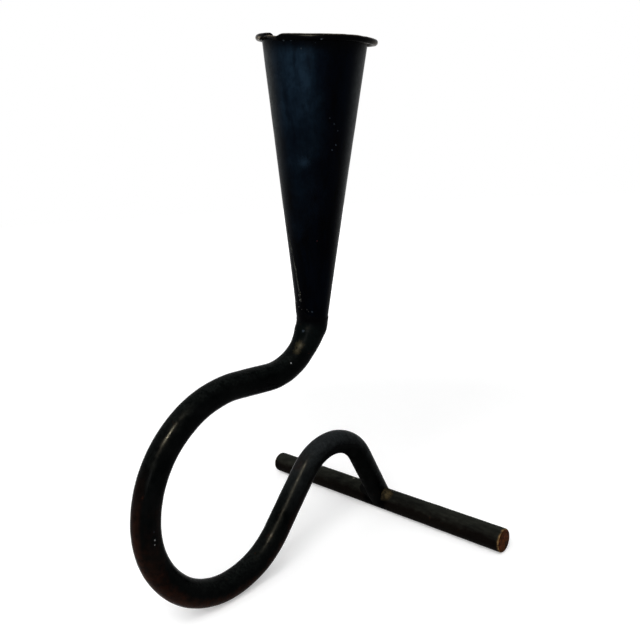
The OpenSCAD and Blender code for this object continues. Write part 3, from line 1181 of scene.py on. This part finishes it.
# %% Black paint
def black_paint(name, light, smooth, grain_size, depth, specks, painted_highlights):
    """Black paint: dust and painted top light, brown low bends, rust, painted shade at the
    strut's foot and under the cup, specks and painted highlights.
    """
    material, tree, shader, place = start_material(name)
    parts = tree.nodes.new("ShaderNodeSeparateXYZ")
    feed(tree, parts.inputs[0], place)
    height = parts.outputs["Z"]
    loop_part = add_range(tree, parts.outputs["X"], *LOOP_SIDE)
    strut_part = add_math(tree, "SUBTRACT", 1.0, loop_part)
    below = place_group(tree, facing, Place=place, Start=0.10, Full=-0.80)["Mask"]
    cloud = place_group(tree, clouds, Place=place, Size=70.0, Dark=tone(0, 1, 1), Light=light)
    colour = add_dust_and_top_light(tree, place, height, strut_part, cloud["Colour"])
    colour = add_brown_bends(tree, place, height, loop_part, below, colour)
    rust = place_group(tree, rust_spots, Place=place, Size=240.0, Amount=0.30)
    colour = add_coat(tree, colour, rust["Colour"], rust["Mask"], 0.4)
    # Painted shade: the underside of the strut near the bar is black, and dull.
    near_bar = add_range(tree, height, *FOOT_OF_STRUT)
    strut_foot_shade = add_math(tree, "MULTIPLY", strut_part,
                    add_math(tree, "MULTIPLY", near_bar, below))
    colour = add_coat(tree, colour, BLACK, strut_foot_shade)
    colour = add_chips(tree, place, colour, specks)
    # Painted highlights at the given places.
    colour = add_chips(tree, place, colour, painted_highlights, "Haze")
    # Painted shade under the cup, on the top of the collar.
    colour = add_coat(tree, colour, COLLAR_SHADE, add_layer(tree, "blackened"))
    shine = add_patches(tree, place, 260.0, 5, 0.65, cut=(0.36, 0.64),
                        ends=(smooth, smooth + 0.22))
    set_surface(tree, shader, place, colour, add_math(tree, "MAXIMUM", shine, strut_foot_shade),
                grain_size, depth, SATIN)
    print("material", material.name)
    return material


# %% Rod paint
ROD_SPECKS = [((-124.0, -5.1, 39.5), 0.38, PALE), ((-124.2, -5.1, 37.8), 0.30, PALE),
              ((-124.0, -5.1, 42.4), 0.22, DULL), ((-57.0, -4.5, 85.0), 0.36, PALE)]
# Painted highlights: olive spots where the bend of the neck catches the light, on the rod and
# the collar.
NECK_HIGHLIGHT = tone(45, 41, 28)
NECK_HIGHLIGHTS = [((-51.0, -3.3, 90.9), 1.3, NECK_HIGHLIGHT), ((-52.6, -3.6, 88.8), 1.0, NECK_HIGHLIGHT)]
rod_paint = black_paint("rod_paint", light=tone(5, 6, 6), smooth=0.17, grain_size=520.0,
                        depth=0.025, specks=ROD_SPECKS, painted_highlights=NECK_HIGHLIGHTS)
bent_rod.data.materials.append(rod_paint)

# %% [markdown]
# ## Paint of the foot bar, and its sawn ends
#
# The bar's top is greyer, from dust and rubbing along its length. The near end was
# never painted: it is rusty orange and brown inside a paler worn edge. The faces of the
# ends get their own material.

# %% Tones and places of the bar's paint
BAR_CLEAR = 9.8 * MM
BAR_BLACK_WITHIN = 7.8 * MM
UNDERSIDE = tone(8, 5, 4)
WORN_EDGE = tone(128, 100, 66)
BAR_SPECKS = [((0.0, 17.0, 10.0), 0.7, tone(110, 106, 96))]

print("the bar is sooty within", BAR_BLACK_WITHIN, "m of its middle")

# %% Bar paint
bar_paint, tree, shader, place = start_material("bar_paint")
long_way = tree.nodes.new("ShaderNodeMapping")
feed(tree, long_way.inputs["Vector"], place)
long_way.inputs["Scale"].default_value = (1.0, 0.3, 1.0)
cloud = place_group(tree, clouds, Place=long_way.outputs["Vector"], Size=110.0,
                    Dark=tone(18, 19, 17), Light=tone(40, 41, 36))
below = place_group(tree, facing, Place=place, Start=0.88, Full=0.28)
colour = add_coat(tree, cloud["Colour"], UNDERSIDE, below["Mask"], 0.9)
rust = place_group(tree, rust_spots, Place=place, Size=260.0, Amount=0.30)
colour = add_coat(tree, colour, rust["Colour"], rust["Mask"], 0.3)
parts = tree.nodes.new("ShaderNodeSeparateXYZ")
feed(tree, parts.inputs[0], place)
# The bar is black near its joint with the strut.
ragged = add_math(tree, "MULTIPLY", add_noise(tree, place, 300.0, 5, 0.6), 4 * MM)
aside = add_math(tree, "ADD", add_math(tree, "ABSOLUTE", parts.outputs["Y"]), ragged)
colour = add_coat(tree, colour, BLACK, add_range(tree, aside, BAR_CLEAR, BAR_BLACK_WITHIN))
wear = add_patches(tree, place, 700.0, 5, 0.65, cut=(0.36, 0.62))
colour = add_coat(tree, colour, WORN_EDGE, add_layer(tree, "worn"), wear)
colour = add_chips(tree, place, colour, BAR_SPECKS)
set_surface(tree, shader, place, colour,
            add_range(tree, cloud["Share"], 0, 1, 0.42, 0.56),
            grain_size=480.0, depth=0.09, gloss=0.004)
foot_bar.data.materials.append(bar_paint)
print("material", bar_paint.name)

# %% Sawn ends
RAW_METAL_GLOSS = 0.014
END_DEPTH = 0.22
END_MARGIN = 0.5

sawn_end, tree, shader, place = start_material("sawn_end")
rust = place_group(tree, rust_spots, Place=place, Size=420.0, Amount=0.62)
cloud = place_group(tree, clouds, Place=place, Size=520.0,
                    Dark=tone(4, 2, 2), Light=tone(70, 37, 11))
set_surface(tree, shader, place,
            add_coat(tree, cloud["Colour"], rust["Colour"], rust["Mask"]),
            add_range(tree, cloud["Share"], 0, 1, 0.62, 0.8),
            grain_size=900.0, depth=0.16, gloss=RAW_METAL_GLOSS)
foot_bar.data.materials.append(sawn_end)
end_faces = 0
for face in foot_bar.data.polygons:
    middle = face.center / MM
    past_end = middle.y < -NEAR_LENGTH + END_DEPTH or middle.y > FAR_LENGTH - END_DEPTH
    off_axis = math.hypot(middle.x, middle.z - FOOT_RADIUS)
    if past_end and off_axis < FOOT_RADIUS - END_MARGIN:
        face.material_index = 1
        end_faces += 1
print("material", sawn_end.name, "on", end_faces, "faces")

# %% [markdown]
# ## Filler and weld
#
# The collar was painted with the rod and takes the same paint, a shade lighter. The
# thread of filler on the seam is greyer: its rough top is rubbed, and its lighter
# patches are painted glints. The weld is the one warm spot: a tan crust where the paint
# has come off, and black around it.

# %% Paint of the collar
COLLAR_SPECKS = [((-48.6, -3.6, 96.2), 0.6, DULL)]
filler = black_paint("filler", light=tone(6, 9, 9), smooth=0.18, grain_size=420.0,
                     depth=0.05, specks=COLLAR_SPECKS, painted_highlights=NECK_HIGHLIGHTS)
neck_collar.data.materials.append(filler)

# %% Paint of the ridge
# The lighter patches of the ridge are painted glints on its rough top.
ridge_paint, tree, shader, place = start_material("ridge_paint")
cloud = place_group(tree, clouds, Place=place, Size=420.0,
                    Dark=tone(3, 3, 4), Light=tone(42, 43, 41))
set_surface(tree, shader, place, cloud["Colour"],
            add_range(tree, cloud["Share"], 0, 1, 0.30, 0.50),
            grain_size=900.0, depth=0.12, gloss=0.05)
seam_ridge.data.materials.append(ridge_paint)
print("material", ridge_paint.name)

# %% Crust of the weld
BARE_CENTRE = Vector((-3.4, -6.5, 9.7)) * MM
BARE_RADIUS = 2.8 * MM
OLD_PAINT = tone(2, 2, 2)

weld_crust, tree, shader, place = start_material("weld_crust")
cloud = place_group(tree, clouds, Place=place, Size=480.0,
                    Dark=tone(9, 7, 5), Light=tone(66, 56, 36))
rust = place_group(tree, rust_spots, Place=place, Size=500.0, Amount=0.35)
colour = add_coat(tree, cloud["Colour"], rust["Colour"], rust["Mask"])
bare = place_group(tree, chip_spot, Place=place, Centre=BARE_CENTRE, Radius=BARE_RADIUS)
colour = add_mix(tree, bare["Haze"], OLD_PAINT, colour)
set_surface(tree, shader, place, colour,
            add_range(tree, cloud["Share"], 0, 1, 0.55, 0.75),
            grain_size=700.0, depth=0.2, gloss=RAW_METAL_GLOSS)
weld_near.data.materials.append(weld_crust)
weld_far.data.materials.append(weld_crust)
print("material", weld_crust.name)

# %% [markdown]
# ## Floor, world and lamps
#
# A black object is lit for its edges and its highlights. A real photographer would set
# up one bright window and large soft screens. Here the two jobs are kept apart, so that
# each can be set alone: three large soft lamps light the colours, at a level at which
# a mid grey card comes out about as it was mixed, and two small ones are seen only in
# the gloss, where they draw the golden streaks on the loop and the rise.
#
# The background is white through the colours of the floor and the world as the camera
# and the reflections see them, and not through stronger lamps. Near the object the
# floor glows less, so that it keeps the shadow.

# %% Floor
FLOOR_REACH = 6.0
FLOOR_DROP = 0.2 * MM
FLOOR_GREY = 0.8
SHADOW_RING = (0.2, 0.7)
SHADOW_GLOW = 0.35

floor_mesh = bpy.data.meshes.new("floor")
floor_mesh.from_pydata([(-FLOOR_REACH, -FLOOR_REACH, 0), (FLOOR_REACH, -FLOOR_REACH, 0),
                        (FLOOR_REACH, FLOOR_REACH, 0), (-FLOOR_REACH, FLOOR_REACH, 0)],
                       [], [(0, 1, 2, 3)])
floor = bpy.data.objects.new("floor", floor_mesh)
floor.location.z = -FLOOR_DROP
bpy.context.scene.collection.objects.link(floor)
print("floor", 2 * FLOOR_REACH, "m wide")


# %% Paint of the floor
def seen_directly(tree):
    """1 for rays of the camera, of reflections and through glass, else 0."""
    path = tree.nodes.new("ShaderNodeLightPath").outputs
    either = add_math(tree, "MAXIMUM", path["Is Camera Ray"], path["Is Glossy Ray"])
    return add_math(tree, "MAXIMUM", either, path["Is Transmission Ray"])


floor_paint = bpy.data.materials.new("floor_paint")
floor_paint.use_nodes = True
tree = floor_paint.node_tree
tree.nodes.clear()
matt = tree.nodes.new("ShaderNodeBsdfDiffuse")
matt.inputs["Color"].default_value = (FLOOR_GREY, FLOOR_GREY, FLOOR_GREY, 1)
glow = tree.nodes.new("ShaderNodeEmission")
glow.inputs["Color"].default_value = (1, 1, 1, 1)
place = tree.nodes.new("ShaderNodeTexCoord").outputs["Object"]
away = tree.nodes.new("ShaderNodeVectorMath")
away.operation = "LENGTH"
feed(tree, away.inputs[0], place)
fill = add_range(tree, away.outputs["Value"], *SHADOW_RING, SHADOW_GLOW, 1.0)
feed(tree, glow.inputs["Strength"],
     add_math(tree, "MULTIPLY", seen_directly(tree), fill))
both = tree.nodes.new("ShaderNodeAddShader")
output = tree.nodes.new("ShaderNodeOutputMaterial")
tree.links.new(matt.outputs[0], both.inputs[0])
tree.links.new(glow.outputs[0], both.inputs[1])
tree.links.new(both.outputs[0], output.inputs["Surface"])
floor_mesh.materials.append(floor_paint)
print("material", floor_paint.name)

# %% World
ROOM_LIGHT = 0.40

world = bpy.data.worlds.new("pale_room")
bpy.context.scene.world = world
world.use_nodes = True
tree = world.node_tree
tree.nodes.clear()
backdrop = tree.nodes.new("ShaderNodeBackground")
backdrop.inputs["Color"].default_value = (1, 1, 1, 1)
feed(tree, backdrop.inputs["Strength"],
     add_range(tree, seen_directly(tree), 0, 1, ROOM_LIGHT, 1.0))
output = tree.nodes.new("ShaderNodeOutputWorld")
tree.links.new(backdrop.outputs[0], output.inputs["Surface"])
print("world", world.name, "is ready")

# %% How a lamp is placed
SUBJECT = Vector((-55, 0, 100)) * MM
WHITE = (1, 1, 1)


def add_lamp(name, turn_right, lift, distance, size, power, colour=WHITE):
    """A lamp in metres and watts, turned right of the camera and lifted, in degrees."""
    heading = CAMERA_HEADING + math.pi - math.radians(turn_right)
    flat = math.cos(math.radians(lift))
    place = SUBJECT + distance * Vector((math.sin(heading) * flat,
                                         math.cos(heading) * flat,
                                         math.sin(math.radians(lift))))
    data = bpy.data.lights.new(name, "AREA")
    data.shape = "RECTANGLE"
    data.size, data.size_y = size
    data.energy = power
    data.color = colour
    lamp = bpy.data.objects.new(name, data)
    lamp.location = place
    lamp.rotation_euler = (SUBJECT - place).to_track_quat("-Z", "Y").to_euler()
    bpy.context.scene.collection.objects.link(lamp)
    print(name, "at", [round(v, 2) for v in place])
    return lamp


# %% Lamps that only the gloss shows
GOLDEN = (1.0, 0.91, 0.66)
window = add_lamp("window", turn_right=-12, lift=46, distance=0.9, size=(0.10, 0.12),
                  power=44.0, colour=GOLDEN)
doorway = add_lamp("doorway", turn_right=-13, lift=13, distance=0.9, size=(0.12, 0.24),
                   power=3.6)
for lamp in (window, doorway):
    lamp.visible_diffuse = False

# %% Lamps that light the colours
front = add_lamp("front", turn_right=-12, lift=46, distance=0.9, size=(0.5, 0.5), power=5.5)
side = add_lamp("side", turn_right=-62, lift=24, distance=1.0, size=(0.6, 0.6), power=1.8)
overhead = add_lamp("overhead", turn_right=-40, lift=70, distance=1.2, size=(0.8, 0.8),
                    power=2.8)
for lamp in (front, side, overhead):
    lamp.visible_glossy = False

# %% View transform
bpy.context.scene.view_settings.view_transform = "Standard"
